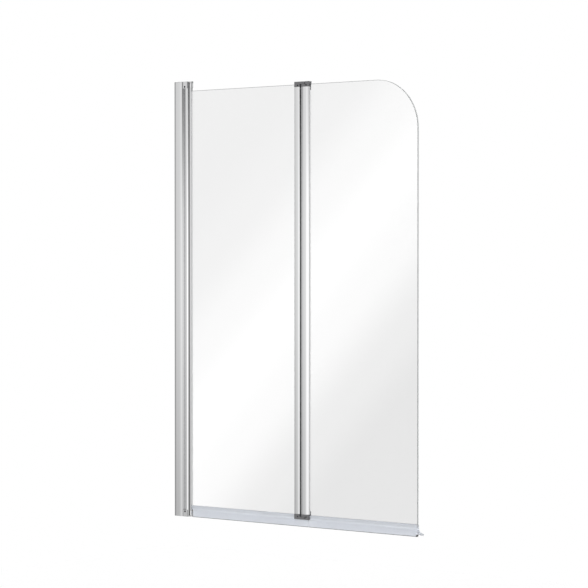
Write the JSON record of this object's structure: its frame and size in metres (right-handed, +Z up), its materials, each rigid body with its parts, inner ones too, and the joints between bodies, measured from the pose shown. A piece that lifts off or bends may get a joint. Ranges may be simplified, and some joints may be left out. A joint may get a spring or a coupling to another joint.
{
  "type": "folding bath screen",
  "caption": "Folding bath screen: wall channel and pivoting stile, clear inner and outer glass joined by an upright fold hinge, rounded top outer corner, clear bottom seals with drip fins.",
  "frame": {"origin": "foot of the wall channel on the wall plane, at the middle of the glass thickness; Z = 0 is the bath rim", "axes": "+X from the wall along the closed screen, +Y towards the bath, +Z up"},
  "size_m": [0.933, 0.045, 1.4],
  "materials": {
    "chrome_profile": "polished",
    "chrome_casting": "polished",
    "screw_steel": "satin",
    "clear_glass": "clear",
    "clear_seal": "clear",
    "soft_strip": "matt",
    "dark_plastic": "satin",
    "grey_plastic": "matt"
  },
  "bodies": {
    "wall_side": {"wall_channel": "chrome_profile", "channel_top_cap": "chrome_casting", "pivot_post": "chrome_profile", "post_seal_strip": "soft_strip", "adjusting_screws": "screw_steel", "adjusting_screw_caps": "grey_plastic", "top_pivot_bracket": "chrome_casting", "bottom_pivot_bracket": "chrome_casting", "bracket_screws": "screw_steel", "wall_pivot_pins": "screw_steel"},
    "inner_panel": {"wall_stile": "chrome_profile", "wall_stile_top_cap": "chrome_casting", "wall_stile_bottom_cap": "chrome_casting", "wall_pivot_bushes": "grey_plastic", "wall_stile_gasket": "soft_strip", "inner_glass": "clear_glass", "inner_hinge_stile": "chrome_profile", "inner_stile_gasket": "soft_strip", "hinge_seal_strip": "soft_strip", "inner_top_block": "dark_plastic", "inner_bottom_block": "dark_plastic", "inner_clamp_screws": "screw_steel", "inner_block_screws": "screw_steel", "fold_pivot_pins": "screw_steel", "inner_bottom_seal": "clear_seal"},
    "outer_panel": {"outer_hinge_stile": "chrome_profile", "outer_stile_gasket": "soft_strip", "outer_top_block": "dark_plastic", "outer_bottom_block": "dark_plastic", "outer_clamp_screws": "screw_steel", "outer_block_screws": "screw_steel", "fold_pivot_bushes": "grey_plastic", "fold_washers": "grey_plastic", "outer_glass": "clear_glass", "outer_bottom_seal": "clear_seal"}
  },
  "joints": [
    {"name": "wall_hinge", "type": "hinge", "parent": "wall_side", "child": "inner_panel", "pos_m": [0.0625, 0, 0], "axis": [0, 0, 1], "range_deg": [-90, 90]},
    {"name": "fold_hinge", "type": "hinge", "parent": "inner_panel", "child": "outer_panel", "pos_m": [0.511, 0, 0], "axis": [0, 0, 1], "range_deg": [-90, 90]}
  ]
}
